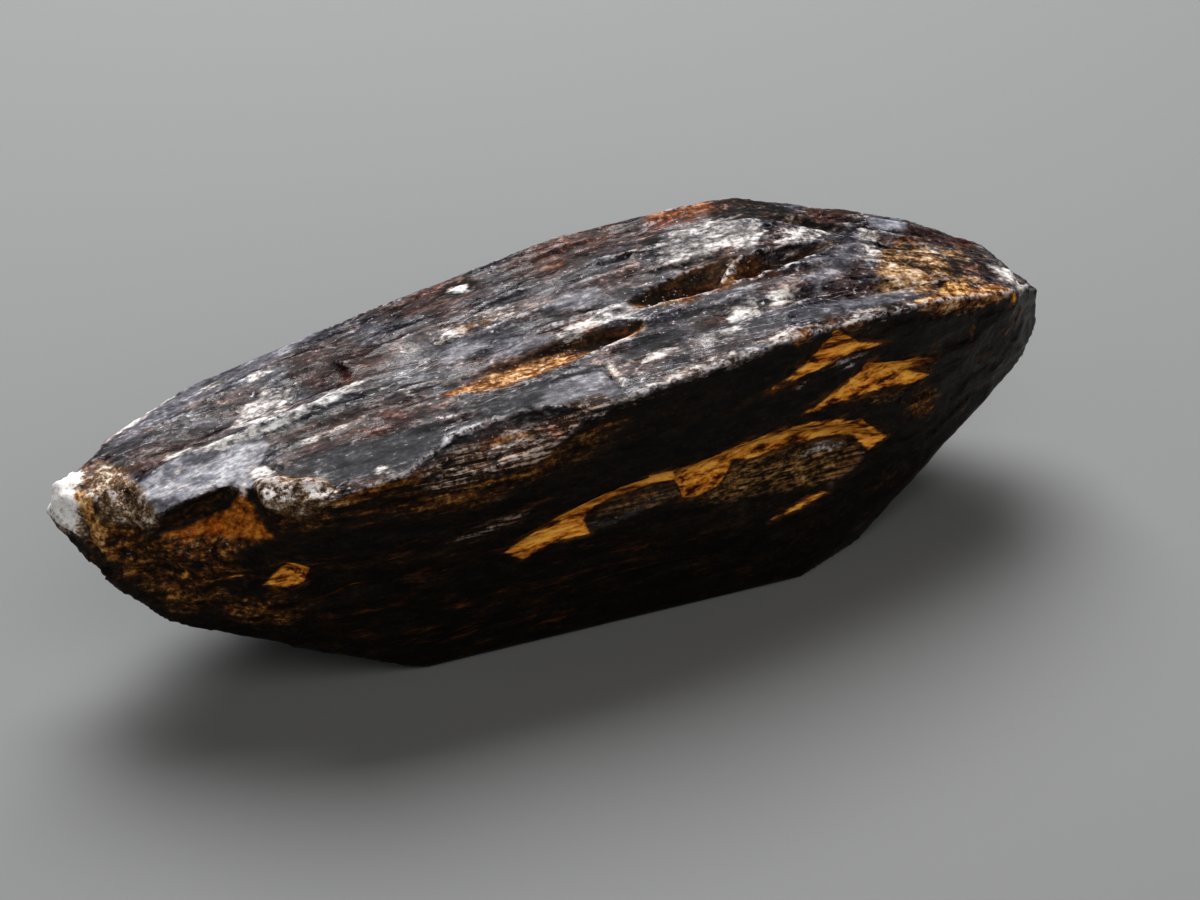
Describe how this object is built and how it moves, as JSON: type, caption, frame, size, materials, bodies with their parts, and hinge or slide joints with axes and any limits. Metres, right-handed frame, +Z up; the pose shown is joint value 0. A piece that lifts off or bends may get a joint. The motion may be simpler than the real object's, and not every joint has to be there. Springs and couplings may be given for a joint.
{
  "type": "xenotime crystal",
  "caption": "Long dark brown xenotime crystal lying on a prism face, lengthwise splintered, with ochre flake scars and two tapering tips.",
  "frame": {"origin": "middle of the crystal's length and width, at the level it rests on", "axes": "+X along the crystal, from the glassy broken stub to the dark tip; +Y from the flaked front face to the back; +Z up"},
  "size_m": [0.0278, 0.0082, 0.0087],
  "materials": {
    "xenotime": "dark brown mineral, satin to glassy along the growth, ochre where flakes have sprung off"
  },
  "bodies": {
    "root": {"crystal": "xenotime"}
  },
  "joints": []
}
